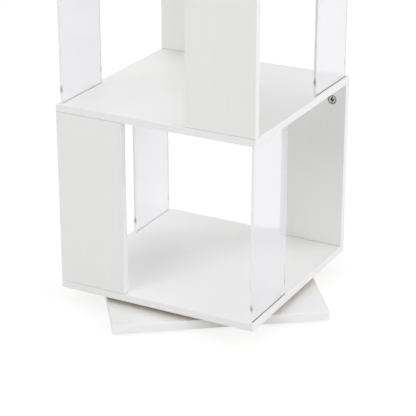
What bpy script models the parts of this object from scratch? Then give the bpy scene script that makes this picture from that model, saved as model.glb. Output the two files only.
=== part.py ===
"""A square revolving bookcase: a tower of six open tiers on a turntable and a base board.

The tower is seven square decks. In every tier each face carries one upright panel a third of the
face wide: coated boards at the front and back, clear acrylic sheets at the right and left. They
run round the tower as a pinwheel, and the pinwheel's hand changes from each tier to the next.

All lengths are in metres and +Z is up. The origin is on the floor, under the axis that the tower
turns about. The tower's front is -Y and its right side +X. The base board stands turned under it.
"""

import math

import bmesh
import bpy
from mathutils import Matrix, Vector

# The tower's boards
TIERS = 6
DECK_SIDE = 0.340
DECK_THICKNESS = 0.012
TIER_CLEAR_HEIGHT = 0.284
PANEL_WIDTH = 0.1155
PANEL_THICKNESS = 0.012
BOARD_EDGE_RADIUS = 0.0008

# The acrylic sheets and the grooves that hold them
ACRYLIC_WIDTH = 0.114
ACRYLIC_THICKNESS = 0.004
ACRYLIC_FACE_INSET = 0.0048
ACRYLIC_CORNER_INSET = 0.007
ACRYLIC_EDGE_RADIUS = 0.0004
GROOVE_DEPTH = 0.004
GROOVE_PLAY = 0.001

# The base board and its feet
BASE_SIDE = 0.340
BASE_THICKNESS = 0.015
BASE_TURN = math.radians(36.2)
FOOT_DIAMETER = 0.024
FOOT_HEIGHT = 0.004
FOOT_CHAMFER = 0.001
FOOT_SIDE_INSET = 0.030
FOOT_PIN_DIAMETER = 0.004
FOOT_PIN_LENGTH = 0.009
ACCESS_HOLE_DIAMETER = 0.020

# The turntable: two pressed plates with a ring of balls between them
TURNTABLE_HEIGHT = 0.008
PLATE_SIDE = 0.200
PLATE_CORNER_RADIUS = 0.010
PLATE_SHEET = 0.0012
PLATE_OPENING_DIAMETER = 0.124
RACE_RADIUS = 0.075
RACE_WIDTH = 0.010
RACE_HEIGHT = 0.0016
FLANGE_REACH = 0.0015
FLANGE_THICKNESS = 0.0005
RIM_THICKNESS = 0.0012
RIM_LIP_REACH = 0.0026
BALL_DIAMETER = 0.004
BALLS = 14
CAGE_WIDTH = 0.009
CAGE_THICKNESS = 0.001
PLATE_SCREW_SPACING = 0.172
PLATE_SCREW_DIAMETER = 0.0035
PLATE_SCREW_LENGTH = 0.010
PLATE_SCREW_HEAD_DIAMETER = 0.007
PLATE_SCREW_HEAD_HEIGHT = 0.0018
PLATE_SCREW_CROWN_DIAMETER = 0.0049
PLATE_SCREW_EDGE_HEIGHT = 0.0007

# The cam fittings at the top of each board panel
CAM_DIAMETER = 0.015
CAM_LENGTH = 0.0095
CAM_DROP = 0.029
CAM_SOCKET_SIDE = 0.0044
CAM_SOCKET_DEPTH = 0.002
FITTING_END_INSET = 0.024
CAM_BOLT_SHANK_DIAMETER = 0.004
CAM_BOLT_HEAD_DIAMETER = 0.0064
CAM_BOLT_HEAD_LENGTH = 0.0025
CAM_BOLT_COLLAR_DIAMETER = 0.007
CAM_BOLT_COLLAR_LENGTH = 0.002
CAM_BOLT_THREAD_DIAMETER = 0.005
CAM_BOLT_THREAD_LENGTH = 0.008

# The countersunk screws at the foot of each board panel
PANEL_SCREW_DIAMETER = 0.004
PANEL_SCREW_HEAD_DIAMETER = 0.008
PANEL_SCREW_HEAD_HEIGHT = 0.0025
PANEL_SCREW_LENGTH = 0.040

# Cross recesses, and the clearance between pieces that touch or run in each other
RECESS_WIDTH = 0.0011
RECESS_DEPTH = 0.0012
CONTACT_GAP = 0.0003
RUNNING_GAP = 0.0005
SMALL_STEPS = 8
ROUND_STEPS = 24
RING_STEPS = 36
GROOVE_STEPS = 4
CORNER_STEPS = 4
EDGE_STEPS = 2
BALL_SEGMENTS = 8
BALL_RINGS = 6
SHARP_ANGLE = math.radians(30)
CUT_MARGIN = 0.001

# Heights of the stack, from the floor up
BASE_UNDERSIDE = FOOT_HEIGHT + CONTACT_GAP
BASE_TOP = BASE_UNDERSIDE + BASE_THICKNESS
TOWER_UNDERSIDE = BASE_TOP + TURNTABLE_HEIGHT
TIER_PITCH = DECK_THICKNESS + TIER_CLEAR_HEIGHT
BALL_HEIGHT = BASE_TOP + TURNTABLE_HEIGHT / 2

MELAMINE = ("melamine_white", (0.80, 0.80, 0.78, 1.0), 0.42, 0.0, 0.0)
ACRYLIC = ("acrylic_clear", (0.93, 0.93, 0.96, 1.0), 0.05, 0.0, 0.9)
STEEL = ("zinc_steel", (0.62, 0.62, 0.60, 1.0), 0.30, 1.0, 0.0)
CAGE_PLASTIC = ("cage_plastic", (0.25, 0.25, 0.26, 1.0), 0.45, 0.0, 0.0)
FOOT_PLASTIC = ("foot_plastic", (0.70, 0.70, 0.68, 1.0), 0.50, 0.0, 0.0)


def clear_scene():
    for old in list(bpy.data.objects):
        bpy.data.objects.remove(old, do_unlink=True)


def new_collection(name):
    collection = bpy.data.collections.new(name)
    bpy.context.scene.collection.children.link(collection)
    return collection


def new_material(name, colour, roughness, metallic, transmission):
    material = bpy.data.materials.new(name)
    material.use_nodes = True
    shader = material.node_tree.nodes["Principled BSDF"]
    shader.inputs["Base Color"].default_value = colour
    shader.inputs["Roughness"].default_value = roughness
    shader.inputs["Metallic"].default_value = metallic
    shader.inputs["Transmission Weight"].default_value = transmission
    return material


clear_scene()
bookcase = new_collection("revolving_bookcase")
cutters = new_collection("cutters")
melamine = new_material(*MELAMINE)
acrylic = new_material(*ACRYLIC)
steel = new_material(*STEEL)
cage_plastic = new_material(*CAGE_PLASTIC)
foot_plastic = new_material(*FOOT_PLASTIC)


# Solids that are cut and joined before they become a part's mesh


def solid(name, bm):
    """A working solid in the cutters collection, from a bmesh."""
    mesh = bpy.data.meshes.new(name)
    bm.to_mesh(mesh)
    bm.free()
    obj = bpy.data.objects.new(name, mesh)
    obj.hide_render = True
    obj.display_type = "WIRE"
    cutters.objects.link(obj)
    return obj


def box(name, low, high, rounding=0.0):
    """A box between two corners, with all its edges rounded over by a radius."""
    low, high = Vector(low), Vector(high)
    bm = bmesh.new()
    place = Matrix.Translation((low + high) / 2) @ Matrix.Diagonal((high - low).to_4d())
    bmesh.ops.create_cube(bm, size=1.0, matrix=place)
    if rounding:
        edges = bm.edges[:]
        bmesh.ops.bevel(bm, geom=edges, offset=rounding, segments=EDGE_STEPS, profile=0.5, affect="EDGES")
    return solid(name, bm)


def cone(name, centre, axis, low, high, low_radius, high_radius, steps=SMALL_STEPS):
    """A cone or cylinder about an axis through a centre, between two distances along that axis."""
    turn = Vector((0, 0, 1)).rotation_difference(Vector(axis)).to_matrix().to_4x4()
    place = Matrix.Translation(centre) @ turn @ Matrix.Translation((0, 0, (low + high) / 2))
    bm = bmesh.new()
    bmesh.ops.create_cone(
        bm,
        cap_ends=True,
        segments=steps,
        radius1=low_radius,
        radius2=high_radius,
        depth=high - low,
        matrix=place,
    )
    return solid(name, bm)


def cylinder(name, centre, axis, low, high, diameter, steps=SMALL_STEPS):
    return cone(name, centre, axis, low, high, diameter / 2, diameter / 2, steps)


def turned(name, profile, closed=False, steps=ROUND_STEPS):
    """A solid turned about Z from (radius, height) points that run down its outer side."""
    bm = bmesh.new()
    points = [bm.verts.new((radius, 0.0, height)) for radius, height in profile]
    for first, second in zip(points, points[1:]):
        bm.edges.new((first, second))
    if closed:
        bm.edges.new((points[-1], points[0]))
    obj = solid(name, bm)
    screw = obj.modifiers.new("turn", "SCREW")
    screw.steps = steps
    screw.render_steps = steps
    screw.use_merge_vertices = True
    screw.merge_threshold = 0.00001
    return obj


def combine(body, operation, tools):
    for tool in tools:
        boolean = body.modifiers.new(operation.lower(), "BOOLEAN")
        boolean.operation = operation
        boolean.solver = "EXACT"
        boolean.object = tool


def finished_mesh(body, material, cuts=(), joins=()):
    """The mesh of a solid once its joins and cuts are made, ready to be shared by parts."""
    combine(body, "UNION", joins)
    combine(body, "DIFFERENCE", cuts)
    bpy.context.view_layer.update()
    mesh = bpy.data.meshes.new_from_object(body.evaluated_get(bpy.context.evaluated_depsgraph_get()))
    mesh.name = body.name
    mesh.materials.clear()
    mesh.materials.append(material)
    mesh.shade_smooth()
    mesh.set_sharp_from_angle(angle=SHARP_ANGLE)
    for tool in (body, *cuts, *joins):
        bpy.data.objects.remove(tool, do_unlink=True)
    return mesh


def axis_empty(name, height, turn=0.0):
    empty = bpy.data.objects.new(name, None)
    empty.location = (0.0, 0.0, height)
    empty.rotation_euler = (0.0, 0.0, turn)
    empty.empty_display_size = 0.05
    bookcase.objects.link(empty)
    return empty


def part(name, mesh, parent, location, turn=0.0):
    """A named part from a shared mesh, placed and turned in its parent's frame."""
    obj = bpy.data.objects.new(name, mesh)
    obj.parent = parent
    obj.location = location
    obj.rotation_euler = (0.0, 0.0, turn)
    bookcase.objects.link(obj)
    return obj


# Where the panels, sheets and fittings stand in the tower


def hand(tier):
    """-1 where the front panel stands at the left corner, +1 where it stands at the right one."""
    return -1 if tier % 2 else 1


def deck_underside(level):
    return TOWER_UNDERSIDE + level * TIER_PITCH


def deck_top(level):
    return deck_underside(level) + DECK_THICKNESS


def panel_centre(tier, side):
    """The middle of a board panel's width, for the front (-1) or the back (+1) of a tier."""
    along = (DECK_SIDE - PANEL_WIDTH) / 2
    return Vector((-hand(tier) * side * along, side * (DECK_SIDE - PANEL_THICKNESS) / 2, 0.0))


def sheet_centre(tier, side):
    """The middle of an acrylic sheet's plan, for the left (-1) or the right (+1) of a tier."""
    across = DECK_SIDE / 2 - ACRYLIC_FACE_INSET - ACRYLIC_THICKNESS / 2
    along = DECK_SIDE / 2 - ACRYLIC_CORNER_INSET - ACRYLIC_WIDTH / 2
    return Vector((side * across, hand(tier) * side * along, 0.0))


def fitting_offsets():
    """The two fittings of a panel, either side of the middle of its width."""
    reach = PANEL_WIDTH / 2 - FITTING_END_INSET
    return (-reach, reach)


def fitting_places(tier):
    """The plan places of a tier's panel fittings, at the middle of the boards' thickness."""
    return [
        panel_centre(tier, side) + Vector((offset, 0.0, 0.0))
        for side in (-1, 1)
        for offset in fitting_offsets()
    ]


def plate_screw_places():
    half = PLATE_SCREW_SPACING / 2
    return [(x, y) for x in (-half, half) for y in (-half, half)]


# Cutters that follow the pieces they make room for


def groove_cutters(name, tier, low, high):
    """The two grooves that a tier's acrylic sheets stand in, between two heights.

    A sheet stands at the inner wall of its groove, so the groove's play lies outside it.
    """
    half_length = ACRYLIC_WIDTH / 2 + CONTACT_GAP
    tools = []
    for side in (-1, 1):
        centre = sheet_centre(tier, side)
        inner = centre.x - side * (ACRYLIC_THICKNESS / 2 + CONTACT_GAP)
        outer = centre.x + side * (ACRYLIC_THICKNESS / 2 + GROOVE_PLAY)
        low_corner = (min(inner, outer), centre.y - half_length, low)
        high_corner = (max(inner, outer), centre.y + half_length, high)
        tools.append(box(f"{name}_{side}", low_corner, high_corner))
    return tools


def panel_screw_cutters(tier):
    """Countersunk holes through a deck for the screws of the panels that stand on it."""
    hole = PANEL_SCREW_DIAMETER + 2 * CONTACT_GAP
    head = PANEL_SCREW_HEAD_DIAMETER / 2 + CONTACT_GAP
    tools = []
    for place in fitting_places(tier):
        through = (-CUT_MARGIN, DECK_THICKNESS + CUT_MARGIN)
        tools.append(cylinder("screw_hole", place, (0, 0, 1), *through, hole))
        sink = PANEL_SCREW_HEAD_HEIGHT + CONTACT_GAP
        mouth = head + (head - hole / 2) / PANEL_SCREW_HEAD_HEIGHT * CUT_MARGIN
        tools.append(cone("screw_sink", place, (0, 0, 1), -CUT_MARGIN, sink, mouth, hole / 2))
    return tools


def cam_bolt_cutters(tier):
    """Blind holes in a deck's underside for the bolts of the panels that hang below it."""
    hole = CAM_BOLT_THREAD_DIAMETER + 2 * CONTACT_GAP
    depth = CAM_BOLT_THREAD_LENGTH + CONTACT_GAP
    return [
        cylinder("bolt_hole", place, (0, 0, 1), -CUT_MARGIN, depth, hole)
        for place in fitting_places(tier)
    ]


def plate_screw_cutters(surface, direction):
    """Blind holes for the turntable's screws, from a surface in the direction they are driven."""
    axis = (0, 0, direction)
    bore = (-CUT_MARGIN, PLATE_SCREW_LENGTH, PLATE_SCREW_DIAMETER + 2 * CONTACT_GAP)
    return [cylinder("plate_screw_hole", (x, y, surface), axis, *bore) for x, y in plate_screw_places()]


def recess_cutters(low, high, length):
    """The two arms of a cross recess, between two heights."""
    return [
        box("recess", (-x / 2, -y / 2, low), (x / 2, y / 2, high))
        for x, y in ((length, RECESS_WIDTH), (RECESS_WIDTH, length))
    ]


# Meshes that several parts share


def deck_mesh(name, tier_below, tier_above):
    """A deck with its underside at height 0, grooved and drilled for the tiers it joins."""
    half = DECK_SIDE / 2
    body = box(name, (-half, -half, 0.0), (half, half, DECK_THICKNESS), BOARD_EDGE_RADIUS)
    cuts = []
    if tier_above:
        groove = (DECK_THICKNESS - GROOVE_DEPTH, DECK_THICKNESS + CUT_MARGIN)
        cuts += groove_cutters("top_groove", tier_above, *groove)
        cuts += panel_screw_cutters(tier_above)
    if tier_below:
        cuts += groove_cutters("under_groove", tier_below, -CUT_MARGIN, GROOVE_DEPTH)
        cuts += cam_bolt_cutters(tier_below)
    else:
        cuts += plate_screw_cutters(0.0, 1)
    return finished_mesh(body, melamine, cuts)


def panel_mesh():
    """A board panel, with its inner face at +Y and its foot at height 0."""
    height = TIER_CLEAR_HEIGHT - 2 * CONTACT_GAP
    half_width = PANEL_WIDTH / 2
    half_thickness = PANEL_THICKNESS / 2
    low = (-half_width, -half_thickness, 0.0)
    body = box("board_panel", low, (half_width, half_thickness, height), BOARD_EDGE_RADIUS)
    cam_height = TIER_CLEAR_HEIGHT - CONTACT_GAP - CAM_DROP
    cam_floor = half_thickness - CAM_LENGTH - CONTACT_GAP
    cam_bore = CAM_DIAMETER + 2 * CONTACT_GAP
    bolt_bore = CAM_BOLT_COLLAR_DIAMETER + 2 * CONTACT_GAP
    screw_bore = PANEL_SCREW_DIAMETER + 2 * CONTACT_GAP
    screw_depth = PANEL_SCREW_LENGTH - DECK_THICKNESS + CONTACT_GAP
    cuts = []
    for x in fitting_offsets():
        cam_place = (x, 0.0, cam_height)
        mouth = half_thickness + CUT_MARGIN
        cuts.append(cylinder("cam_bore", cam_place, (0, 1, 0), cam_floor, mouth, cam_bore, ROUND_STEPS))
        bolt_way = (0.0, height - cam_height + CUT_MARGIN)
        cuts.append(cylinder("bolt_bore", cam_place, (0, 0, 1), *bolt_way, bolt_bore))
        foot_place = (x, 0.0, 0.0)
        cuts.append(cylinder("screw_bore", foot_place, (0, 0, 1), -CUT_MARGIN, screw_depth, screw_bore))
    return finished_mesh(body, melamine, cuts)


def sheet_mesh():
    """An acrylic sheet, thin along X, with its foot at height 0."""
    height = TIER_CLEAR_HEIGHT + 2 * GROOVE_DEPTH - 2 * CONTACT_GAP
    half = Vector((ACRYLIC_THICKNESS / 2, ACRYLIC_WIDTH / 2, 0.0))
    body = box("acrylic_sheet", -half, half + Vector((0.0, 0.0, height)), ACRYLIC_EDGE_RADIUS)
    return finished_mesh(body, acrylic)


def base_mesh():
    """The base board, with its underside at height 0."""
    half = BASE_SIDE / 2
    body = box("base_board", (-half, -half, 0.0), (half, half, BASE_THICKNESS), BOARD_EDGE_RADIUS)
    cuts = plate_screw_cutters(BASE_THICKNESS, -1)
    for x, y in foot_places():
        pin_hole = FOOT_PIN_DIAMETER + 2 * CONTACT_GAP
        cuts.append(cylinder("pin_hole", (x, y, 0.0), (0, 0, 1), -CUT_MARGIN, FOOT_PIN_LENGTH, pin_hole))
    screw_circle = PLATE_SCREW_SPACING / math.sqrt(2)
    way = (-CUT_MARGIN, BASE_THICKNESS + CUT_MARGIN)
    access = ((screw_circle, 0.0, 0.0), (0, 0, 1), *way, ACCESS_HOLE_DIAMETER, ROUND_STEPS)
    cuts.append(cylinder("access_hole", *access))
    return finished_mesh(body, melamine, cuts)


def foot_places():
    reach = BASE_SIDE / 2 - FOOT_SIDE_INSET
    return [(x, y) for x in (-reach, reach) for y in (-reach, reach)]


def foot_mesh():
    """A glide with a pin that is pressed into the base board, with its sole at height 0."""
    radius = FOOT_DIAMETER / 2
    pin = FOOT_PIN_DIAMETER / 2
    pin_top = FOOT_HEIGHT + FOOT_PIN_LENGTH
    profile = [
        (0.0, pin_top),
        (pin, pin_top),
        (pin, FOOT_HEIGHT),
        (radius, FOOT_HEIGHT),
        (radius, FOOT_CHAMFER),
        (radius - FOOT_CHAMFER, 0.0),
        (0.0, 0.0),
    ]
    return finished_mesh(turned("foot", profile), foot_plastic)


def race_groove():
    """The groove that the balls run in, as (radius, height above the race's floor) points."""
    radius = BALL_DIAMETER / 2 + CONTACT_GAP
    centre = TURNTABLE_HEIGHT / 2
    rim = CONTACT_GAP + PLATE_SHEET + RACE_HEIGHT
    open_angle = math.acos((centre - rim) / radius)
    points = []
    for step in range(GROOVE_STEPS + 1):
        angle = open_angle * (2 * step / GROOVE_STEPS - 1)
        points.append((RACE_RADIUS + radius * math.sin(angle), centre - radius * math.cos(angle)))
    return points


def plate_solid(name):
    """A plate's square sheet with its round opening, lying on height 0 with the contact gap."""
    bm = bmesh.new()
    size = Matrix.Diagonal((PLATE_SIDE, PLATE_SIDE, PLATE_SHEET, 1.0))
    middle = Matrix.Translation((0.0, 0.0, CONTACT_GAP + PLATE_SHEET / 2))
    bmesh.ops.create_cube(bm, size=1.0, matrix=middle @ size)
    corners = [edge for edge in bm.edges if abs(edge.verts[0].co.z - edge.verts[1].co.z) > PLATE_SHEET / 2]
    corner = {"offset": PLATE_CORNER_RADIUS, "segments": CORNER_STEPS, "profile": 0.5}
    bmesh.ops.bevel(bm, geom=corners, affect="EDGES", **corner)
    return solid(name, bm)


def plate_cuts():
    """The opening in a plate and its four screw holes."""
    high = TURNTABLE_HEIGHT / 2
    hole = PLATE_SCREW_DIAMETER + 2 * CONTACT_GAP
    cuts = [cylinder("plate_opening", (0, 0, 0), (0, 0, 1), 0.0, high, PLATE_OPENING_DIAMETER, RING_STEPS)]
    cuts += [cylinder("plate_hole", (x, y, 0.0), (0, 0, 1), 0.0, high, hole) for x, y in plate_screw_places()]
    return cuts


def race_profile():
    """The lower race: a ring with the ball groove in its top and a flange round its outer side."""
    root = CONTACT_GAP + PLATE_SHEET / 2
    rim = CONTACT_GAP + PLATE_SHEET + RACE_HEIGHT
    inner = RACE_RADIUS - RACE_WIDTH / 2
    outer = RACE_RADIUS + RACE_WIDTH / 2
    return [
        (inner, rim),
        *race_groove(),
        (outer + FLANGE_REACH, rim),
        (outer + FLANGE_REACH, rim - FLANGE_THICKNESS),
        (outer, rim - FLANGE_THICKNESS),
        (outer, root),
        (inner, root),
    ]


def rim_profile():
    """The upper plate's crimped rim: a skirt with a lip that hooks in under the lower flange."""
    flange_low = CONTACT_GAP + PLATE_SHEET + RACE_HEIGHT - FLANGE_THICKNESS
    lip_top = flange_low - CONTACT_GAP
    lip_low = CONTACT_GAP + PLATE_SHEET + CONTACT_GAP
    root = TURNTABLE_HEIGHT - CONTACT_GAP - PLATE_SHEET / 2
    inner = RACE_RADIUS + RACE_WIDTH / 2 + FLANGE_REACH + RUNNING_GAP
    outer = inner + RIM_THICKNESS
    lip = outer - RIM_LIP_REACH
    return [(outer, root), (outer, lip_low), (lip, lip_low), (lip, lip_top), (inner, lip_top), (inner, root)]


def lower_plate_mesh():
    body = plate_solid("turntable_lower_plate")
    race = turned("lower_race", race_profile(), closed=True, steps=RING_STEPS)
    return finished_mesh(body, steel, plate_cuts(), [race])


def upper_plate_mesh():
    """The upper plate in its working place: the lower one turned over, with the rim crimped on.

    The pieces are turned over as objects, so the finished mesh is turned over once more.
    """
    body = plate_solid("turntable_upper_plate")
    race = turned("upper_race", race_profile(), closed=True, steps=RING_STEPS)
    over = Matrix.Translation((0.0, 0.0, TURNTABLE_HEIGHT)) @ Matrix.Rotation(math.pi, 4, "X")
    cuts = plate_cuts()
    for piece in (body, race, *cuts):
        piece.matrix_world = over @ piece.matrix_world
    rim = turned("upper_rim", rim_profile(), closed=True, steps=RING_STEPS)
    mesh = finished_mesh(body, steel, cuts, [race, rim])
    mesh.transform(over)
    return mesh


def ball_cage_mesh():
    """The cage ring with its balls, centred on height 0."""
    inner = RACE_RADIUS - CAGE_WIDTH / 2
    outer = RACE_RADIUS + CAGE_WIDTH / 2
    half = CAGE_THICKNESS / 2
    ring = turned(
        "turntable_ball_cage",
        [(inner, half), (outer, half), (outer, -half), (inner, -half)],
        closed=True,
        steps=RING_STEPS,
    )
    sphere = {"u_segments": BALL_SEGMENTS, "v_segments": BALL_RINGS, "radius": BALL_DIAMETER / 2}
    balls = []
    for index in range(BALLS):
        angle = math.tau * index / BALLS
        place = Matrix.Translation((RACE_RADIUS * math.cos(angle), RACE_RADIUS * math.sin(angle), 0.0))
        bm = bmesh.new()
        bmesh.ops.create_uvsphere(bm, matrix=place, **sphere)
        balls.append(solid("ball", bm))
    return finished_mesh(ring, cage_plastic, (), balls)


def plate_screw_mesh():
    """A pan-head screw with the underside of its head at height 0, driven downwards."""
    head = PLATE_SCREW_HEAD_DIAMETER / 2
    shank = PLATE_SCREW_DIAMETER / 2
    top = PLATE_SCREW_HEAD_HEIGHT
    profile = [
        (0.0, top),
        (PLATE_SCREW_CROWN_DIAMETER / 2, top),
        (head, PLATE_SCREW_EDGE_HEIGHT),
        (head, 0.0),
        (shank, 0.0),
        (shank, shank - PLATE_SCREW_LENGTH),
        (0.0, -PLATE_SCREW_LENGTH),
    ]
    body = turned("plate_screw", profile, steps=SMALL_STEPS)
    return finished_mesh(body, steel, recess_cutters(top - RECESS_DEPTH, top + CUT_MARGIN, head))


def panel_screw_mesh():
    """A countersunk screw with its head's flat face at height 0 and its shank upwards."""
    head = PANEL_SCREW_HEAD_DIAMETER / 2
    shank = PANEL_SCREW_DIAMETER / 2
    profile = [
        (0.0, PANEL_SCREW_LENGTH),
        (shank, PANEL_SCREW_LENGTH - 2 * shank),
        (shank, PANEL_SCREW_HEAD_HEIGHT),
        (head, 0.0),
        (0.0, 0.0),
    ]
    body = turned("panel_screw", profile, steps=SMALL_STEPS)
    return finished_mesh(body, steel, recess_cutters(-CUT_MARGIN, RECESS_DEPTH, head))


def cam_bolt_mesh():
    """A cam bolt with the underside of its deck at height 0, its thread above and head below."""
    thread = CAM_BOLT_THREAD_DIAMETER / 2
    collar = CAM_BOLT_COLLAR_DIAMETER / 2
    shank = CAM_BOLT_SHANK_DIAMETER / 2
    head = CAM_BOLT_HEAD_DIAMETER / 2
    head_top = CAM_BOLT_HEAD_LENGTH / 2 - CAM_DROP
    profile = [
        (0.0, CAM_BOLT_THREAD_LENGTH),
        (thread, CAM_BOLT_THREAD_LENGTH - thread),
        (thread, -CONTACT_GAP),
        (collar, -CONTACT_GAP),
        (collar, -CONTACT_GAP - CAM_BOLT_COLLAR_LENGTH),
        (shank, -CONTACT_GAP - CAM_BOLT_COLLAR_LENGTH),
        (shank, head_top),
        (head, head_top),
        (head, head_top - CAM_BOLT_HEAD_LENGTH),
        (0.0, head_top - CAM_BOLT_HEAD_LENGTH),
    ]
    return finished_mesh(turned("cam_bolt", profile, steps=SMALL_STEPS), steel)


def cam_mesh():
    """A cam lock with its face at height 0 and its body below, open on one side for the bolt.

    Its slot runs along +Y, which points up once the cam lies in its panel.
    """
    radius = CAM_DIAMETER / 2
    bolt_depth = PANEL_THICKNESS / 2
    slot = CAM_BOLT_SHANK_DIAMETER / 2 + CONTACT_GAP
    pocket = CAM_BOLT_HEAD_DIAMETER / 2 + CONTACT_GAP
    pocket_reach = CAM_BOLT_HEAD_LENGTH / 2 + CONTACT_GAP
    profile = [(0.0, 0.0), (radius, 0.0), (radius, -CAM_LENGTH), (0.0, -CAM_LENGTH)]
    body = turned("cam", profile)
    back = -CAM_LENGTH - CUT_MARGIN
    cuts = [
        box("cam_slot", (-slot, 0.0, back), (slot, radius + CUT_MARGIN, slot - bolt_depth)),
        box("cam_pocket", (-pocket, -pocket_reach, back), (pocket, pocket_reach, pocket - bolt_depth)),
    ]
    cuts += recess_cutters(-RECESS_DEPTH, CUT_MARGIN, radius)
    socket = CAM_SOCKET_SIDE / 2
    cuts.append(box("cam_socket", (-socket, -socket, -CAM_SOCKET_DEPTH), (socket, socket, CUT_MARGIN)))
    return finished_mesh(body, steel, cuts)


# The assembly


def build_base():
    base_frame = axis_empty("base_frame", 0.0, BASE_TURN)
    part("base_board", base_mesh(), base_frame, (0.0, 0.0, BASE_UNDERSIDE))
    part("turntable_lower_plate", lower_plate_mesh(), base_frame, (0.0, 0.0, BASE_TOP))
    foot = foot_mesh()
    for number, (x, y) in enumerate(foot_places(), 1):
        part(f"base_foot_{number}", foot, base_frame, (x, y, 0.0))
    screw = plate_screw_mesh()
    head_seat = BASE_TOP + PLATE_SHEET + 2 * CONTACT_GAP
    for number, (x, y) in enumerate(plate_screw_places(), 1):
        part(f"lower_plate_screw_{number}", screw, base_frame, (x, y, head_seat))
    return screw


def build_turntable_top(tower_frame, screw):
    """The upper plate and its screws, which turn with the tower, and the cage between the plates."""
    cage_frame = axis_empty("cage_axis", 0.0)
    part("turntable_ball_cage", ball_cage_mesh(), cage_frame, (0.0, 0.0, BALL_HEIGHT))
    part("turntable_upper_plate", upper_plate_mesh(), tower_frame, (0.0, 0.0, BASE_TOP))
    head_seat = TOWER_UNDERSIDE - PLATE_SHEET - 2 * CONTACT_GAP
    for number, (x, y) in enumerate(plate_screw_places(), 1):
        driven_up = part(f"upper_plate_screw_{number}", screw, tower_frame, (x, y, head_seat))
        driven_up.rotation_euler = (math.pi, 0.0, 0.0)


def build_decks(tower_frame):
    """Decks that join the same pair of tiers share a mesh."""
    meshes = {}
    for level in range(TIERS + 1):
        tier_below = level
        tier_above = level + 1 if level < TIERS else 0
        if level == 0:
            name = "bottom_deck"
        elif level == TIERS:
            name = "top_deck"
        else:
            name = f"shelf_deck_{level}"
        kind = (tier_below and hand(tier_below), tier_above and hand(tier_above))
        if kind not in meshes:
            meshes[kind] = deck_mesh(name, tier_below, tier_above)
        part(name, meshes[kind], tower_frame, (0.0, 0.0, deck_underside(level)))


def build_tier(tower_frame, tier, board, sheet):
    """The four uprights of one tier, which stands on the deck below its number."""
    foot = deck_top(tier - 1)
    for face, side in (("front", -1), ("back", 1)):
        place = panel_centre(tier, side) + Vector((0.0, 0.0, foot + CONTACT_GAP))
        part(f"tier_{tier}_{face}_panel", board, tower_frame, place, math.pi if side > 0 else 0.0)
    for face, side in (("left", -1), ("right", 1)):
        place = sheet_centre(tier, side) + Vector((0.0, 0.0, foot - GROOVE_DEPTH + CONTACT_GAP))
        part(f"tier_{tier}_{face}_acrylic", sheet, tower_frame, place)


def build_fittings(tower_frame, tier):
    """The cams, cam bolts and foot screws of a tier's two board panels."""
    cam, bolt, screw = cam_mesh(), cam_bolt_mesh(), panel_screw_mesh()
    floor, ceiling = deck_underside(tier - 1), deck_underside(tier)
    for face, side in (("front", -1), ("back", 1)):
        centre = panel_centre(tier, side)
        for number, offset in enumerate(fitting_offsets(), 1):
            plan = centre + Vector((offset, 0.0, 0.0))
            inner_face = plan - Vector((0.0, side * PANEL_THICKNESS / 2, 0.0))
            cam_place = inner_face + Vector((0.0, 0.0, ceiling - CAM_DROP))
            lock = part(f"tier_{tier}_{face}_cam_{number}", cam, tower_frame, cam_place)
            lock.rotation_euler = (math.pi / 2, 0.0, 0.0 if side > 0 else math.pi)
            bolt_place = plan + Vector((0.0, 0.0, ceiling))
            part(f"tier_{tier}_{face}_cam_bolt_{number}", bolt, tower_frame, bolt_place)
            screw_place = plan + Vector((0.0, 0.0, floor + CONTACT_GAP))
            part(f"tier_{tier}_{face}_panel_screw_{number}", screw, tower_frame, screw_place)


def build_bookcase():
    screw = build_base()
    tower_frame = axis_empty("revolve_axis", 0.0)
    build_turntable_top(tower_frame, screw)
    build_decks(tower_frame)
    board, sheet = panel_mesh(), sheet_mesh()
    for tier in range(1, TIERS + 1):
        build_tier(tower_frame, tier, board, sheet)
    build_fittings(tower_frame, 1)


build_bookcase()
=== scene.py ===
"""The looks of the revolving bookcase: its finishes and small fittings, a white studio and a camera.

Lengths are in metres and +Z is up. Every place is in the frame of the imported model, whose origin is
on the floor under the tower's axis, with the tower's front at -Y and its right side at +X.
"""

import math

import bmesh
import bpy
from mathutils import Matrix, Vector


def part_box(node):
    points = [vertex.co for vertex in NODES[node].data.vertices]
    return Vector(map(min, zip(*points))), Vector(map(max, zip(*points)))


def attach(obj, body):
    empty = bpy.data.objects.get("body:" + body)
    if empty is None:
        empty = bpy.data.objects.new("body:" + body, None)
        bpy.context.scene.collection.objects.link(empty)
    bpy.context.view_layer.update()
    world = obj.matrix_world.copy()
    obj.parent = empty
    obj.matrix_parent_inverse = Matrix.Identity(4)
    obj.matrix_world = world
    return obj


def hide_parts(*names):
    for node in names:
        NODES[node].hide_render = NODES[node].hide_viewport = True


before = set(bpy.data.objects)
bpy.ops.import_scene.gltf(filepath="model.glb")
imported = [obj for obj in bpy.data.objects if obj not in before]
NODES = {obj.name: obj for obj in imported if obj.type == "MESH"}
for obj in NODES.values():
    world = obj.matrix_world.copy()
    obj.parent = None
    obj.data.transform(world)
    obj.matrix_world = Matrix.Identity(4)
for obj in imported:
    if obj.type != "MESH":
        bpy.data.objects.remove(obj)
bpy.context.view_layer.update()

TOWER_BODY = "tower"
WHITE = (1.0, 1.0, 1.0, 1.0)

# The camera looks down at the two lowest tiers. Its focal length is in the photograph's pixels, and its
# sensor is in millimetres, as Blender has them.
PHOTO_SIDE = 416
FOCAL_LENGTH = 1600.0
SENSOR_SIDE = 36.0
CAMERA_PLACE = (1.1205, -2.1030, 1.1267)
CAMERA_YAW = math.radians(27.986)
CAMERA_PITCH = math.radians(22.613)

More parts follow.
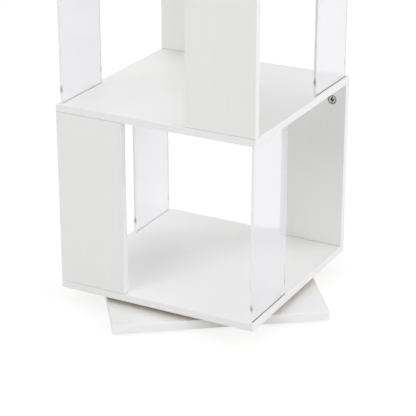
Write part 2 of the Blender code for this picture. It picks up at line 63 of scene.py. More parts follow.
# The studio: a white room and floor, and five softboxes that hang round the bookcase. Each has its
# compass angle from the front towards the right, its angle above the floor, its side, its level and
# its colour. A level of 1 lights a white face that looks straight at the lamp to full white. The floor
# that is seen is darker than the one that lights the bookcase, and has a glow of its own: so it comes
# out white with a faint shadow.
FLOOR_RADIUS = 14.0
FLOOR_SIDES = 96
FLOOR_COLOUR = (0.88, 0.88, 0.88, 1.0)
FLOOR_SEEN_COLOUR = (0.22, 0.22, 0.22, 1.0)
FLOOR_SEEN_GLOW = 0.815
FLOOR_WHITENS = (1.5, 3.0)
ROOM_LIGHT = 0.45
ROOM_COLOUR = (1.0, 0.990, 0.970, 1.0)
LAMP_TARGET = (0.0, 0.0, 0.55)
LAMP_DISTANCE = 4.5
SOFTBOXES = {
    "right_softbox": (80, 22, 2.2, 0.29, (0.985, 0.985, 1.0)),
    "right_back_softbox": (125, 35, 2.4, 0.19, (0.99, 0.99, 1.0)),
    "left_back_softbox": (230, 35, 2.2, 0.16, (1.0, 1.0, 1.0)),
    "front_softbox": (345, 28, 2.2, 0.25, (1.0, 1.0, 1.0)),
    "top_softbox": (0, 80, 2.6, 0.14, (1.0, 1.0, 1.0)),
}

# Coated board: the film on its faces, the tape on its edges and the chips inside it. The underside of
# the bottom deck has no film, only sanded chips.
TOWER_COAT = {
    "film": (0.870, 0.870, 0.866, 1.0),
    "streak": (0.852, 0.852, 0.848, 1.0),
    "tape": (0.876, 0.876, 0.880, 1.0),
}
# The base's coat is a paler copy of the tower's: painted light, lightening the base that the tower
# shades
BASE_COAT_PAINTED_PALER = {
    "film": (0.900, 0.900, 0.900, 1.0),
    "streak": (0.884, 0.884, 0.884, 1.0),
    "tape": (0.910, 0.910, 0.914, 1.0),
}
SEAM_COLOUR = (0.50, 0.49, 0.47, 1.0)
CHIP_PALE = (0.300, 0.185, 0.110, 1.0)
CHIP_DARK = (0.095, 0.052, 0.030, 1.0)
SANDED_PALE = (0.760, 0.660, 0.450, 1.0)
SANDED_DARK = (0.530, 0.420, 0.250, 1.0)
FILM_DEPTH = 0.00025
TAPE_DEPTH = 0.0009
SEAM_HALF = 0.00012
CUT_RIM = 0.0013
GRAIN_STREAK = (0.0045, 0.300)
GRAIN_PORE = (0.0005, 0.014)
GRAIN_DEPTH = 0.00003
GRAIN_STRENGTH = 0.6
CHIP_SIZE = 0.0014
CHIP_MOTTLE = 0.00175
CHIP_DEPTH = 0.0003
FILM_ROUGHNESS = 0.40
PORE_ROUGHER = 0.14
CHIPS_ROUGHER = 0.40

# The part of its range that each noise is stretched from, and how much of the tone each thing takes
NOISE_MIDDLE = (0.3, 0.7)
STREAK_NOISE = (0.30, 0.72)
PORE_NOISE = (0.54, 0.68)
SANDED_NOISE = (0.35, 0.70)
STREAK_TONE = 0.60
PORE_TONE = 0.40
SEAM_TONE = 0.55

# The axes of a deck and of a board panel: along the grain, through the board, and across its taped edges
DECK_AXES = {"grain_axis": 0, "thin_axis": 2, "taped_axes": (0, 1)}
PANEL_AXES = {"grain_axis": 2, "thin_axis": 1, "taped_axes": (0,)}

# Clear acrylic with a faint lilac haze. Its edges are painted paler, a painted glow for the light piped
# along the sheet. The ends of each sheet that stand in a groove are painted brown from outside, for the
# bare board and the shade in the groove seen past the sheet, and painted pale from inside it.
ACRYLIC_COLOUR = (0.912, 0.904, 0.933, 1.0)
ACRYLIC_EDGE_PAINTED_GLOW = (0.940, 0.940, 0.940, 1.0)
ACRYLIC_CLEAR = 0.77
ACRYLIC_EDGE_CLEAR = 0.08
ACRYLIC_IOR = 1.49
ACRYLIC_SHADOW = (0.87, 0.87, 0.875, 1.0)
ACRYLIC_EDGE_DEPTH = 0.0006
GROOVE_SHADE_AND_BOARD_BROWN = (0.240, 0.085, 0.030, 1.0)
GROOVE_LINE = 0.0005
# A painted image of the groove seen in each upright edge: its grey, height over the groove, half-width
GROOVE_IMAGE_PAINTED_COLOUR = (0.42, 0.42, 0.42, 1.0)
GROOVE_IMAGE_PAINTED_HEIGHT = 0.022
GROOVE_IMAGE_PAINTED_HALF = 0.009
WIPE_SCALE = (30.0, 30.0, 9.0)
WIPE_NOISE = (0.35, 0.75)
ACRYLIC_ROUGHNESS = (0.015, 0.045)

# Metal: the size of its tool marks is its grain, and the clouds in its plating are some grains wide
NICKEL_COLOUR = (0.62, 0.60, 0.575, 1.0)
# The darker rim of a cam lock and the near-black socket in its face are painted shade.
NICKEL_RIM_PAINTED_SHADE = (0.27, 0.245, 0.215, 1.0)
NICKEL_HOLE_PAINTED_SHADE = (0.012, 0.010, 0.009, 1.0)
NICKEL_ROUGHNESS = 0.26
NICKEL_GRAIN = 0.0004
ZINC_COLOUR = (0.66, 0.66, 0.67, 1.0)
ZINC_ROUGHNESS = 0.30
ZINC_GRAIN = 0.0005
CLOUD_GRAINS = 6
CLOUD_DARKER = 0.80
MARK_NOISE = (0.25, 0.75)
MARK_SMOOTHER = 0.06
MARK_ROUGHER = 0.10
MARK_STRENGTH = 0.35
FINE_DEPTH = 0.00002
HOLE_ROUGHNESS = 0.7

# Plastic: a fine spark-eroded grit, and wider clouds that are a little paler
FOOT_COLOUR = (0.72, 0.72, 0.71, 1.0)
FOOT_ROUGHNESS = 0.45
GRIT_SIZE = 0.0005
GRIT_SMOOTHER = 0.05
GRIT_ROUGHER = 0.08
GRIT_STRENGTH = 0.4
PLASTIC_CLOUD = 0.006
PLASTIC_PALER = 1.12

# The cage ring and its balls. Whatever stands further than CAGE_HALF out of the ring's middle plane is
# a ball.
CAGE_COLOUR = (0.050, 0.050, 0.055, 1.0)
CAGE_HALF = 0.0006
CAGE_ROUGHNESS = (0.38, 0.50)
BALL_SMOOTHER = 0.3

# The cam locks that show in the inner face of each board panel, and the screws in its foot. A bolt's
# axis lies BOLT_DEPTH under the face of its cam lock.
CAM_DIAMETER = 0.015
CAM_LENGTH = 0.0095
CAM_INSET = 0.0002
CAM_RIM_WIDTH = 0.0014
CAM_DISH = 0.0005
CAM_CHAMFER = 0.0003
CAM_STEPS = 64
BOLT_DEPTH = 0.006
BOLT_SLOT = 0.0046
BOLT_POCKET = 0.0070
BOLT_POCKET_LENGTH = 0.0031
SOCKET_ARM_LENGTH = 0.0082
SOCKET_ARM_WIDTH = 0.0014
SOCKET_ARM_DEPTH = 0.0024
SOCKET_HEART = 0.0057
SOCKET_HEART_DEPTH = 0.0026
# Between these heights under a cam lock's face, its socket darkens to the painted shade.
HOLE_PAINTED_SHADE_DEPTHS = (-0.0005, -0.0007)
CAM_MARK_LENGTH = 0.0021
CAM_MARK_WIDTH = 0.0019
CAM_MARK_DEPTH = 0.0003
SCREW_HEAD_DIAMETER = 0.008
SCREW_HEAD_HEIGHT = 0.0025
SCREW_HEAD_RIM = 0.0002
SCREW_SHANK_DIAMETER = 0.004
SCREW_LENGTH = 0.040
SCREW_STEPS = 40
SCREW_ARM_LENGTH = 0.0044
SCREW_ARM_WIDTH = 0.0011
SCREW_ARM_DEPTH = 0.0015
CUT_MARGIN = 0.0005
WELD_DISTANCE = 0.000001
SHARP_ANGLE = math.radians(32)


# Node trees. The Mix node has its colours in these sockets, after those for its other kinds of value.
MIX_FIRST, MIX_SECOND, MIX_COLOUR = 6, 7, 2


def new_tree(name):
    """A material and its node tree, with nothing in it but the output."""
    material = bpy.data.materials.new(name)
    material.use_nodes = True
    tree = material.node_tree
    tree.nodes.clear()
    tree.nodes.new("ShaderNodeOutputMaterial")
    return material, tree


def add(tree, kind, inputs=None, **settings):
    """A node with its settings, and with its inputs set to values or linked to sockets."""
    made = tree.nodes.new(kind)
    for name, value in settings.items():
        setattr(made, name, value)
    for key, value in (inputs or {}).items():
        if isinstance(value, bpy.types.NodeSocket):
            tree.links.new(value, made.inputs[key])
        else:
            made.inputs[key].default_value = value
    return made


def maths(tree, operation, *values, clamp=False):
    made = add(tree, "ShaderNodeMath", dict(enumerate(values)), operation=operation, use_clamp=clamp)
    return made.outputs[0]


def opposite(tree, share):
    """1 where a share is 0, and 0 where it is 1."""
    return maths(tree, "SUBTRACT", 1.0, share)


def vector_maths(tree, operation, *values):
    return add(tree, "ShaderNodeVectorMath", dict(enumerate(values)), operation=operation).outputs[0]


def length_of(tree, place):
    """How far a place lies from the origin."""
    return add(tree, "ShaderNodeVectorMath", {0: place}, operation="LENGTH").outputs["Value"]


def part_of(tree, place, axis):
    """One of the three numbers of a place, by the letter of its axis."""
    return add(tree, "ShaderNodeSeparateXYZ", {"Vector": place}).outputs[axis]


def mixed(tree, factor, first, second):
    """A colour between two colours."""
    inputs = {"Factor": factor, MIX_FIRST: first, MIX_SECOND: second}
    return add(tree, "ShaderNodeMix", inputs, data_type="RGBA").outputs[MIX_COLOUR]


def mixed_shader(tree, factor, first, second):
    return add(tree, "ShaderNodeMixShader", {0: factor, 1: first, 2: second}).outputs[0]


def bumped(tree, height, depth, strength, **below):
    """The surface's normal with a relief on it, and on the bumps below it where they are given."""
    inputs = {"Strength": strength, "Distance": depth, "Height": height, **below}
    return add(tree, "ShaderNodeBump", inputs).outputs[0]


def spread(tree, value, low, high, new_low=0.0, new_high=1.0):
    """A value's range from low to high, smoothly taken to a new range."""
    inputs = {"Value": value, "From Min": low, "From Max": high, "To Min": new_low, "To Max": new_high}
    return add(tree, "ShaderNodeMapRange", inputs, interpolation_type="SMOOTHSTEP").outputs[0]


def noise(tree, place, detail=2.0, roughness=0.5, scale=1.0):
    inputs = {"Vector": place, "Scale": scale, "Detail": detail, "Roughness": roughness}
    return add(tree, "ShaderNodeTexNoise", inputs).outputs[0]


def finish_tree(tree, shader):
    tree.links.new(shader, tree.nodes["Material Output"].inputs["Surface"])


def turned_place(tree, place, turn):
    """A place in the axes of a board that stands turned about Z."""
    inputs = {"Vector": place, "Angle": -turn}
    return add(tree, "ShaderNodeVectorRotate", inputs, rotation_type="Z_AXIS").outputs[0]


def border_distances(tree, node, turn=0.0):
    """How far a point of a board or sheet lies inside its borders, along its own three axes."""
    low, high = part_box(node)
    box = high - low
    widening = abs(math.cos(turn)) + abs(math.sin(turn))
    half = Vector((box.x / widening, box.y / widening, box.z)) / 2
    generated = add(tree, "ShaderNodeTexCoord").outputs["Generated"]
    centred = vector_maths(tree, "MULTIPLY_ADD", generated, tuple(box), tuple(-box / 2))
    reach = vector_maths(tree, "ABSOLUTE", turned_place(tree, centred, turn))
    inside = vector_maths(tree, "SUBTRACT", tuple(half), reach)
    return add(tree, "ShaderNodeSeparateXYZ", {"Vector": inside}).outputs


def height_in(tree, node):
    """How high a point of a board or sheet lies above its own lowest point."""
    low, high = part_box(node)
    generated = add(tree, "ShaderNodeTexCoord").outputs["Generated"]
    return maths(tree, "MULTIPLY", part_of(tree, generated, "Z"), high.z - low.z)


# Finishes


def board_finish(name, node, coat_colours, axes, turn=0.0, bare_below=False):
    """White film with a fine wood grain, a taped edge, and bare chips where the board is cut.

    The grain runs along one of the board's own axes. Its cuts are known by their depth: they lie
    deeper than the film and further in than the tape. A board that is bare below has sanded chips
    on its underside.
    """
    grain_axis, thin_axis, taped_axes = axes["grain_axis"], axes["thin_axis"], axes["taped_axes"]
    material, tree = new_tree(name)
    place = turned_place(tree, add(tree, "ShaderNodeTexCoord").outputs["Object"], turn)
    depth = border_distances(tree, node, turn)

    def grained(pitch):
        across, along = pitch
        scale = [1 / across] * 3
        scale[grain_axis] = 1 / along
        return vector_maths(tree, "MULTIPLY", place, tuple(scale))

    streak = noise(tree, grained(GRAIN_STREAK), detail=3.0)
    pore = spread(tree, noise(tree, grained(GRAIN_PORE), detail=2.0, roughness=0.6), *PORE_NOISE)
    streak_shade = spread(tree, streak, *STREAK_NOISE, 0.0, STREAK_TONE)
    shade = maths(tree, "ADD", streak_shade, maths(tree, "MULTIPLY", pore, PORE_TONE))
    film = mixed(tree, shade, coat_colours["film"], coat_colours["streak"])

    edge = depth[taped_axes[0]]
    for axis in taped_axes[1:]:
        edge = maths(tree, "MINIMUM", edge, depth[axis])
    tape = maths(tree, "LESS_THAN", edge, TAPE_DEPTH)
    off_seam = maths(tree, "ABSOLUTE", maths(tree, "SUBTRACT", edge, TAPE_DEPTH))
    seam = spread(tree, off_seam, 0.0, SEAM_HALF, SEAM_TONE, 0.0)
    coat = mixed(tree, tape, film, coat_colours["tape"])
    coat = mixed(tree, seam, coat, SEAM_COLOUR)

    chip = add(tree, "ShaderNodeTexVoronoi", {"Vector": place, "Scale": 1 / CHIP_SIZE})
    mottle = noise(tree, place, detail=3.0, roughness=0.6, scale=1 / CHIP_MOTTLE)
    chips = mixed(tree, spread(tree, mottle, *NOISE_MIDDLE), CHIP_PALE, CHIP_DARK)
    cut = None
    for axis in range(3):
        limit = FILM_DEPTH if axis == thin_axis else CUT_RIM
        deeper = maths(tree, "GREATER_THAN", depth[axis], limit)
        cut = deeper if cut is None else maths(tree, "MULTIPLY", cut, deeper)
    colour = mixed(tree, cut, coat, chips)
    uncoated = cut
    if bare_below:
        on_face = maths(tree, "MULTIPLY", opposite(tree, tape), opposite(tree, cut))
        low_face = maths(tree, "LESS_THAN", height_in(tree, node), FILM_DEPTH)
        bare = maths(tree, "MULTIPLY", low_face, on_face)
        fleck = noise(tree, place, detail=3.0, roughness=0.6, scale=1 / CHIP_SIZE)
        sanded = mixed(tree, spread(tree, fleck, *SANDED_NOISE), SANDED_PALE, SANDED_DARK)
        colour = mixed(tree, bare, colour, sanded)
        uncoated = maths(tree, "MAXIMUM", cut, bare)

    smooth = maths(tree, "MAXIMUM", tape, uncoated)
    film_relief = maths(tree, "MULTIPLY", opposite(tree, smooth), opposite(tree, pore))
    chip_relief = maths(tree, "MULTIPLY", cut, chip.outputs["Distance"])
    film_bump = bumped(tree, film_relief, GRAIN_DEPTH, GRAIN_STRENGTH)
    film_rough = maths(tree, "ADD", FILM_ROUGHNESS, maths(tree, "MULTIPLY", pore, PORE_ROUGHER))
    chips_rougher = maths(tree, "MULTIPLY", uncoated, CHIPS_ROUGHER)
    inputs = {
        "Base Color": colour,
        "Roughness": maths(tree, "ADD", film_rough, chips_rougher, clamp=True),
        "Normal": bumped(tree, chip_relief, CHIP_DEPTH, 1.0, Normal=film_bump),
    }
    finish_tree(tree, add(tree, "ShaderNodeBsdfPrincipled", inputs).outputs[0])
    return material


def acrylic_finish():
    """Clear sheet with a faint haze in it, and polished edges that glow paler than the faces.

    The edges are painted paler, a painted glow for the light piped along the sheet. The ends that
    stand in a groove are painted brown from outside, for the bare board and the shade in its groove
    seen past the sheet, and painted pale from inside the sheet, a painted light over that shade. The
    brown reaches a hair's breadth out of the groove on the face that looks away from the tower's axis.
    A soft grey patch low on each upright edge is a painted image of the groove, seen in the edge.
    """
    material, tree = new_tree("acrylic_clear")
    coordinates = add(tree, "ShaderNodeTexCoord").outputs
    place = coordinates["Object"]
    depth = border_distances(tree, "tier_1_left_acrylic")
    upright = maths(tree, "LESS_THAN", depth["Y"], ACRYLIC_EDGE_DEPTH)
    in_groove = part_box("bottom_deck")[1].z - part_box("tier_1_left_acrylic")[0].z
    place_x = part_of(tree, place, "X")
    normal_x = part_of(tree, coordinates["Normal"], "X")
    outward = maths(tree, "GREATER_THAN", maths(tree, "MULTIPLY", place_x, normal_x), 0.0)
    line = maths(tree, "ADD", maths(tree, "MULTIPLY", outward, GROOVE_LINE), in_groove)
    buried = maths(tree, "LESS_THAN", depth["Z"], line)
    edge = maths(tree, "MAXIMUM", upright, buried)
    from_inside = add(tree, "ShaderNodeNewGeometry").outputs["Backfacing"]
    # Painted ends: brown outside for the board and the groove's shade, pale painted light inside
    painted_end_colour = mixed(tree, from_inside, GROOVE_SHADE_AND_BOARD_BROWN, ACRYLIC_EDGE_PAINTED_GLOW)
    height = height_in(tree, "tier_1_left_acrylic")
    # A painted image of the groove: a soft grey patch low on each upright edge
    off_painted_groove_image = maths(tree, "ABSOLUTE", maths(tree, "SUBTRACT", height, in_groove + GROOVE_IMAGE_PAINTED_HEIGHT))
    painted_groove_image = maths(tree, "MULTIPLY", upright, spread(tree, off_painted_groove_image, 0.0, GROOVE_IMAGE_PAINTED_HALF, 1.0, 0.0))
    # The upright edges are painted paler, a painted glow
    colour = mixed(tree, upright, ACRYLIC_COLOUR, ACRYLIC_EDGE_PAINTED_GLOW)
    colour = mixed(tree, painted_groove_image, colour, GROOVE_IMAGE_PAINTED_COLOUR)
    wiped = vector_maths(tree, "MULTIPLY", place, WIPE_SCALE)
    wipe = noise(tree, wiped, detail=4.0, roughness=0.6)
    inputs = {
        "Base Color": mixed(tree, buried, colour, painted_end_colour),
        "Roughness": spread(tree, wipe, *WIPE_NOISE, *ACRYLIC_ROUGHNESS),
        "Transmission Weight": spread(tree, edge, 0.0, 1.0, ACRYLIC_CLEAR, ACRYLIC_EDGE_CLEAR),
        "IOR": ACRYLIC_IOR,
    }
    sheet = add(tree, "ShaderNodeBsdfPrincipled", inputs).outputs[0]
    lamp_way = add(tree, "ShaderNodeBsdfTransparent", {"Color": ACRYLIC_SHADOW}).outputs[0]
    shadow_ray = add(tree, "ShaderNodeLightPath").outputs["Is Shadow Ray"]
    finish_tree(tree, mixed_shader(tree, shadow_ray, sheet, lamp_way))
    return material


def metal_finish(name, colour, roughness, grain, rim=None, hole_shade=None):
    """Plated metal with a cloudy plating and fine tool marks.

    A cam lock also has painted shade: a darker colour on its rim, round its axis, and a near-black one
    that grows down the socket in its face at height 0.
    """
    material, tree = new_tree(name)
    place = add(tree, "ShaderNodeTexCoord").outputs["Object"]
    cloud = noise(tree, place, detail=3.0, roughness=0.6, scale=1 / (grain * CLOUD_GRAINS))
    marks = noise(tree, place, detail=2.0, roughness=0.7, scale=1 / grain)
    darker = tuple(channel * CLOUD_DARKER for channel in colour[:3]) + (1.0,)
    shade = mixed(tree, spread(tree, cloud, *NOISE_MIDDLE), darker, colour)
    rough = spread(tree, marks, *MARK_NOISE, roughness - MARK_SMOOTHER, roughness + MARK_ROUGHER)
    metallic = 1.0
    # Painted shade: the rim darker, and the socket near-black, rough and not metallic further down it
    if rim and hole_shade:
        flat = vector_maths(tree, "MULTIPLY", place, (1.0, 1.0, 0.0))
        inner_rim = CAM_DIAMETER / 2 - CAM_CHAMFER - CAM_RIM_WIDTH - CAM_DISH
        shade = mixed(tree, maths(tree, "GREATER_THAN", length_of(tree, flat), inner_rim), shade, rim)
        hole_shade_share = spread(tree, part_of(tree, place, "Z"), *HOLE_PAINTED_SHADE_DEPTHS)
        shade = mixed(tree, hole_shade_share, shade, hole_shade)
        rough = maths(tree, "MAXIMUM", rough, maths(tree, "MULTIPLY", hole_shade_share, HOLE_ROUGHNESS))
        metallic = opposite(tree, hole_shade_share)
    inputs = {
        "Base Color": shade,
        "Metallic": metallic,
        "Roughness": rough,
        "Normal": bumped(tree, marks, FINE_DEPTH, MARK_STRENGTH),
    }
    finish_tree(tree, add(tree, "ShaderNodeBsdfPrincipled", inputs).outputs[0])
    return material


def plastic_finish(name, colour, roughness):
    """Moulded plastic with a fine spark-eroded surface."""
    material, tree = new_tree(name)
    place = add(tree, "ShaderNodeTexCoord").outputs["Object"]
    grit = noise(tree, place, detail=2.0, roughness=0.6, scale=1 / GRIT_SIZE)
    cloud = noise(tree, place, detail=2.0, roughness=0.5, scale=1 / PLASTIC_CLOUD)
    paler = tuple(min(1.0, channel * PLASTIC_PALER) for channel in colour[:3]) + (1.0,)
    rough = (roughness - GRIT_SMOOTHER, roughness + GRIT_ROUGHER)
    inputs = {
        "Base Color": mixed(tree, cloud, colour, paler),
        "Roughness": spread(tree, grit, *NOISE_MIDDLE, *rough),
        "Normal": bumped(tree, grit, FINE_DEPTH, GRIT_STRENGTH),
    }
    finish_tree(tree, add(tree, "ShaderNodeBsdfPrincipled", inputs).outputs[0])
    return material


def cage_finish():
    """Dark plastic for the cage ring, and bright steel for the balls that stand out of it."""
    material, tree = new_tree("cage_and_balls")
    place = add(tree, "ShaderNodeTexCoord").outputs["Object"]
    low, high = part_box("turntable_ball_cage")
    off_middle = maths(tree, "SUBTRACT", part_of(tree, place, "Z"), (low.z + high.z) / 2)
    ball = maths(tree, "GREATER_THAN", maths(tree, "ABSOLUTE", off_middle), CAGE_HALF)
    grit = noise(tree, place, detail=2.0, roughness=0.6, scale=1 / GRIT_SIZE)
    cage_rough = spread(tree, grit, *NOISE_MIDDLE, *CAGE_ROUGHNESS)
    smoother = spread(tree, ball, 0.0, 1.0, 1.0, BALL_SMOOTHER)
    inputs = {
        "Base Color": mixed(tree, ball, CAGE_COLOUR, ZINC_COLOUR),
        "Metallic": ball,
        "Roughness": maths(tree, "MULTIPLY", cage_rough, smoother),
    }
    finish_tree(tree, add(tree, "ShaderNodeBsdfPrincipled", inputs).outputs[0])
    return material


def base_turn():
    """The angle that the base board stands at, from the places of two of its feet."""
    first, second = (sum(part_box(f"base_foot_{number}"), Vector()) / 2 for number in (1, 2))
    side = second - first
    return -math.atan2(side.x, side.y)


def paint_nodes(finishes):
    for name, node in NODES.items():
        if name in ("base_board", "bottom_deck"):
            finish = finishes[name]
        elif name.endswith("_deck") or name.startswith("shelf_deck"):
            finish = finishes["deck"]
        elif name.endswith("_panel"):
            finish = finishes["panel"]
        elif name.endswith("_acrylic"):
            finish = finishes["acrylic"]
        elif name == "turntable_ball_cage":
            finish = finishes["cage"]
        elif name.startswith("base_foot"):
            finish = finishes["foot"]
        else:
            finish = finishes["zinc"]
        for slot in node.material_slots:
            slot.material = finish


# Small fittings


def mesh_from(name, bm):
    mesh = bpy.data.meshes.new(name)
    bm.to_mesh(mesh)
    bm.free()
    return mesh


def turned(name, profile, steps):
    """A closed mesh turned about Z, from (radius, height) points that start and end on the axis."""
    bm = bmesh.new()
    points = [bm.verts.new((radius, 0.0, height)) for radius, height in profile]
    lines = [bm.edges.new(pair) for pair in zip(points, points[1:])]
    about = {"cent": (0, 0, 0), "axis": (0, 0, 1), "angle": math.tau, "steps": steps}
    bmesh.ops.spin(bm, geom=points + lines, use_merge=True, **about)
    bmesh.ops.remove_doubles(bm, verts=bm.verts[:], dist=WELD_DISTANCE)
    bmesh.ops.recalc_face_normals(bm, faces=bm.faces[:])
    return mesh_from(name, bm)


def block(low, high, turn=0.0):
    """A box mesh between two corners, turned about Z."""
    low, high = Vector(low), Vector(high)
    bm = bmesh.new()
    size = Matrix.Diagonal((high - low).to_4d())
    place = Matrix.Rotation(turn, 4, "Z") @ Matrix.Translation((low + high) / 2) @ size
    bmesh.ops.create_cube(bm, size=1.0, matrix=place)
    return mesh_from("cutter", bm)


def arrowhead(reach, length, width, depth):
    """A triangular cutter that points along +Y, between its reach and its reach plus its length."""
    bm = bmesh.new()
    outline = [(-width / 2, reach), (width / 2, reach), (0.0, reach + length)]
    low = [bm.verts.new((x, y, -depth)) for x, y in outline]
    high = [bm.verts.new((x, y, CUT_MARGIN)) for x, y in outline]
    bm.faces.new(low)
    bm.faces.new(high)
    for a in range(3):
        b = (a + 1) % 3
        bm.faces.new((low[a], low[b], high[b], high[a]))
    bmesh.ops.recalc_face_normals(bm, faces=bm.faces[:])
    return mesh_from("cutter", bm)


def cut_mesh(mesh, cutters, finish):
    """The mesh with the cutters taken out of it, in one finish, shaded smooth up to its sharp edges."""
    body = bpy.data.objects.new(mesh.name, mesh)
    bpy.context.scene.collection.objects.link(body)
    tools = []
    for cutter in cutters:
        tool = bpy.data.objects.new("cutter", cutter)
        bpy.context.scene.collection.objects.link(tool)
        boolean = body.modifiers.new("cut", "BOOLEAN")
        boolean.operation = "DIFFERENCE"
        boolean.solver = "EXACT"
        boolean.object = tool
        tools.append(tool)
    bpy.context.view_layer.update()
    done = bpy.data.meshes.new_from_object(body.evaluated_get(bpy.context.evaluated_depsgraph_get()))
    for piece in (body, *tools):
        bpy.data.objects.remove(piece, do_unlink=True)
    done.shade_smooth()
    done.set_sharp_from_angle(angle=SHARP_ANGLE)
    done.materials.clear()
    done.materials.append(finish)
    return done


def cross(length, width, low, high):
    """Two box cutters that cross, between two heights."""
    half, narrow = length / 2, width / 2
    return [
        block((-half, -narrow, low), (half, narrow, high)),
        block((-narrow, -half, low), (narrow, half, high)),
    ]


def cam_mesh(finish):
    """A cam lock: its face at height 0 looks along +Z, and its opening for the bolt along +Y."""
    radius = CAM_DIAMETER / 2
    rim = radius - CAM_CHAMFER - CAM_RIM_WIDTH
    profile = [
        (0.0, -CAM_DISH),
        (rim - CAM_DISH, -CAM_DISH),
        (rim, 0.0),
        (radius - CAM_CHAMFER, 0.0),
        (radius, -CAM_CHAMFER),
        (radius, -CAM_LENGTH),
        (0.0, -CAM_LENGTH),
    ]
    back = -CAM_LENGTH - CUT_MARGIN
    heart, slot, pocket = SOCKET_HEART / 2, BOLT_SLOT / 2, BOLT_POCKET / 2
    reach = BOLT_POCKET_LENGTH / 2
    mark = (rim - CAM_DISH - CAM_MARK_LENGTH, CAM_MARK_LENGTH, CAM_MARK_WIDTH, CAM_DISH + CAM_MARK_DEPTH)
    cutters = [
        *cross(SOCKET_ARM_LENGTH, SOCKET_ARM_WIDTH, -CAM_DISH - SOCKET_ARM_DEPTH, CUT_MARGIN),
        block((-heart, -heart, -SOCKET_HEART_DEPTH), (heart, heart, CUT_MARGIN), math.pi / 4),
        arrowhead(*mark),
        block((-slot, 0.0, back), (slot, radius + CUT_MARGIN, slot - BOLT_DEPTH)),
        block((-pocket, -reach, back), (pocket, reach, pocket - BOLT_DEPTH - CUT_MARGIN)),
    ]
    return cut_mesh(turned("cam_lock", profile, CAM_STEPS), cutters, finish)


def screw_mesh(finish):
    """A countersunk screw: its face at height 0 looks along -Z, and its shank rises along +Z."""
    head, shank = SCREW_HEAD_DIAMETER / 2, SCREW_SHANK_DIAMETER / 2
    profile = [
        (0.0, 0.0),
        (head - SCREW_HEAD_RIM, 0.0),
        (head, SCREW_HEAD_RIM),
        (shank, SCREW_HEAD_HEIGHT),
        (shank, SCREW_LENGTH - SCREW_SHANK_DIAMETER),
        (0.0, SCREW_LENGTH),
    ]
    cutters = cross(SCREW_ARM_LENGTH, SCREW_ARM_WIDTH, -CUT_MARGIN, SCREW_ARM_DEPTH)
    return cut_mesh(turned("panel_screw", profile, SCREW_STEPS), cutters, finish)


def middle(node):
    low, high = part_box(node)
    return (low + high) / 2


def place_fitting(name, mesh, location, rotation=(0.0, 0.0, 0.0), replaced=None):
    """A fitting that rides on the tower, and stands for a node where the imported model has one."""
    piece = bpy.data.objects.new(name, mesh)
    bpy.context.scene.collection.objects.link(piece)
    piece.location = location
    piece.rotation_euler = rotation
    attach(piece, TOWER_BODY)
    if replaced:
        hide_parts(replaced)
    return piece


def add_panel_fittings(tier, face, inward, cam, screw):
    """The fittings of one board panel, whose inner face looks inward along Y.

    These are its cam locks, its foot screws and its cam bolts. In the lowest tier the cam bolts are
    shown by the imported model's own nodes.
    """
    pattern = f"tier_1_{face}"
    panel = f"tier_{tier}_{face}_panel"
    low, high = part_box(panel)
    shift = middle(panel) - middle(f"{pattern}_panel")
    inner_face = high.y if inward > 0 else low.y
    cam_turn = (math.pi / 2, 0.0, math.pi if inward > 0 else 0.0)
    lowest = tier == 1
    for number in (1, 2):
        cam_node = f"{pattern}_cam_{number}"
        spot = middle(cam_node) + shift
        spot.y = inner_face - inward * CAM_INSET
        cam_name = f"tier_{tier}_{face}_cam_lock_{number}"
        place_fitting(cam_name, cam, spot, cam_turn, cam_node if lowest else None)
        screw_node = f"{pattern}_panel_screw_{number}"
        spot = middle(screw_node) + shift
        spot.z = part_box(screw_node)[0].z + shift.z
        screw_name = f"tier_{tier}_{face}_foot_screw_{number}"
        place_fitting(screw_name, screw, spot, replaced=screw_node if lowest else None)
        if not lowest:
            bolt = NODES[f"{pattern}_cam_bolt_{number}"].data
            place_fitting(f"tier_{tier}_{face}_cam_bolt_{number}", bolt, shift)


def add_fittings(nickel, zinc):
    """The fittings of every tier, set out from those of the lowest tier."""
    cam, screw = cam_mesh(nickel), screw_mesh(zinc)
    tiers = sum(name.endswith("_front_panel") for name in NODES)
    for tier in range(1, tiers + 1):
        for face, inward in (("front", 1), ("back", -1)):
            add_panel_fittings(tier, face, inward, cam, screw)


# Studio and camera


def white_ray(tree):
    """1 for the rays that see the backdrop: straight, in a reflection, or through a clear sheet."""
    path = add(tree, "ShaderNodeLightPath").outputs
    seen = maths(tree, "ADD", path["Is Camera Ray"], path["Is Glossy Ray"])
    return maths(tree, "ADD", seen, path["Is Transmission Ray"], clamp=True)


def add_room():
    """A white room: plain white where it is seen, and a soft even light elsewhere."""
    world = bpy.data.worlds.new("white_room")
    world.use_nodes = True
    tree = world.node_tree
    tree.nodes.clear()
    output = tree.nodes.new("ShaderNodeOutputWorld")
    light = add(tree, "ShaderNodeBackground", {"Color": ROOM_COLOUR, "Strength": ROOM_LIGHT}).outputs[0]
    seen = add(tree, "ShaderNodeBackground", {"Color": WHITE, "Strength": 1.0}).outputs[0]
    tree.links.new(mixed_shader(tree, white_ray(tree), light, seen), output.inputs["Surface"])
    bpy.context.scene.world = world


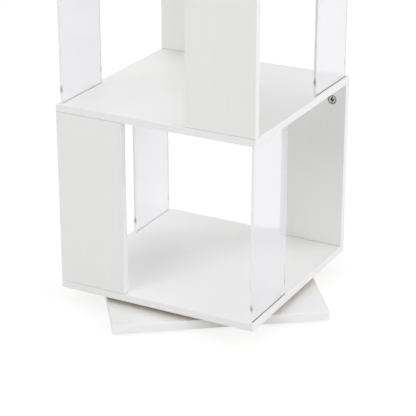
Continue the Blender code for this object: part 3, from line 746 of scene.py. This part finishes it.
def add_floor():
    """A pale floor that keeps the bookcase's soft shadow, and turns plain white further away.

    From below it is clear.
    """
    bm = bmesh.new()
    bmesh.ops.create_circle(bm, cap_ends=True, segments=FLOOR_SIDES, radius=FLOOR_RADIUS)
    floor = bpy.data.objects.new("studio_floor", mesh_from("studio_floor", bm))
    bpy.context.scene.collection.objects.link(floor)
    material, tree = new_tree("pale_floor")
    bounce = add(tree, "ShaderNodeBsdfDiffuse", {"Color": FLOOR_COLOUR}).outputs[0]
    shaded = add(tree, "ShaderNodeBsdfDiffuse", {"Color": FLOOR_SEEN_COLOUR}).outputs[0]
    glow = add(tree, "ShaderNodeEmission", {"Color": WHITE, "Strength": FLOOR_SEEN_GLOW}).outputs[0]
    near = add(tree, "ShaderNodeAddShader", {0: shaded, 1: glow}).outputs[0]
    white = add(tree, "ShaderNodeEmission", {"Color": WHITE, "Strength": 1.0}).outputs[0]
    place = add(tree, "ShaderNodeTexCoord").outputs["Object"]
    far = spread(tree, length_of(tree, place), *FLOOR_WHITENS)
    lit = mixed_shader(tree, white_ray(tree), bounce, mixed_shader(tree, far, near, white))
    clear = add(tree, "ShaderNodeBsdfTransparent").outputs[0]
    below = add(tree, "ShaderNodeNewGeometry").outputs["Backfacing"]
    finish_tree(tree, mixed_shader(tree, below, lit, clear))
    floor.data.materials.append(material)


def add_softbox(name, compass, rise, side, level, colour):
    """A square lamp that looks at the bookcase and isn't seen itself, at the place its angles give."""
    lamp = bpy.data.lights.new(name, "AREA")
    lamp.shape = "SQUARE"
    lamp.size = side
    lamp.energy = level * (math.pi * LAMP_DISTANCE) ** 2
    lamp.color = colour
    holder = bpy.data.objects.new(name, lamp)
    bpy.context.scene.collection.objects.link(holder)
    compass, rise = math.radians(compass), math.radians(rise)
    flat = math.cos(rise)
    towards = Vector((math.sin(compass) * flat, -math.cos(compass) * flat, math.sin(rise)))
    holder.location = Vector(LAMP_TARGET) + LAMP_DISTANCE * towards
    holder.rotation_euler = (-towards).to_track_quat("-Z", "Y").to_euler()
    holder.visible_camera = False
    holder.visible_transmission = False


def add_camera():
    data = bpy.data.cameras.new("photo_camera")
    data.sensor_width = SENSOR_SIDE
    data.lens = FOCAL_LENGTH / PHOTO_SIDE * SENSOR_SIDE
    camera = bpy.data.objects.new("photo_camera", data)
    bpy.context.scene.collection.objects.link(camera)
    camera.location = CAMERA_PLACE
    camera.rotation_euler = (math.pi / 2 - CAMERA_PITCH, 0.0, CAMERA_YAW)
    bpy.context.scene.camera = camera


def dress():
    """Every finish and fitting of the bookcase."""
    turn = base_turn()
    zinc = metal_finish("zinc_plate", ZINC_COLOUR, ZINC_ROUGHNESS, ZINC_GRAIN)
    # The painted shade of a cam lock: on its rim, and down the socket in its face
    cam_painted_shades = (NICKEL_RIM_PAINTED_SHADE, NICKEL_HOLE_PAINTED_SHADE)
    nickel = metal_finish("nickel_plate", NICKEL_COLOUR, NICKEL_ROUGHNESS, NICKEL_GRAIN, *cam_painted_shades)
    base = board_finish("base_board_white", "base_board", BASE_COAT_PAINTED_PALER, DECK_AXES, turn)
    bottom = board_finish("bottom_deck_white", "bottom_deck", TOWER_COAT, DECK_AXES, bare_below=True)
    finishes = {
        "base_board": base,
        "bottom_deck": bottom,
        "deck": board_finish("deck_white", "top_deck", TOWER_COAT, DECK_AXES),
        "panel": board_finish("panel_white", "tier_1_front_panel", TOWER_COAT, PANEL_AXES),
        "acrylic": acrylic_finish(),
        "cage": cage_finish(),
        "foot": plastic_finish("foot_plastic_white", FOOT_COLOUR, FOOT_ROUGHNESS),
        "zinc": zinc,
    }
    paint_nodes(finishes)
    add_fittings(nickel, zinc)


dress()
add_camera()
add_room()
add_floor()
for name, settings in SOFTBOXES.items():
    add_softbox(name, *settings)

bpy.context.scene.view_settings.view_transform = "Standard"
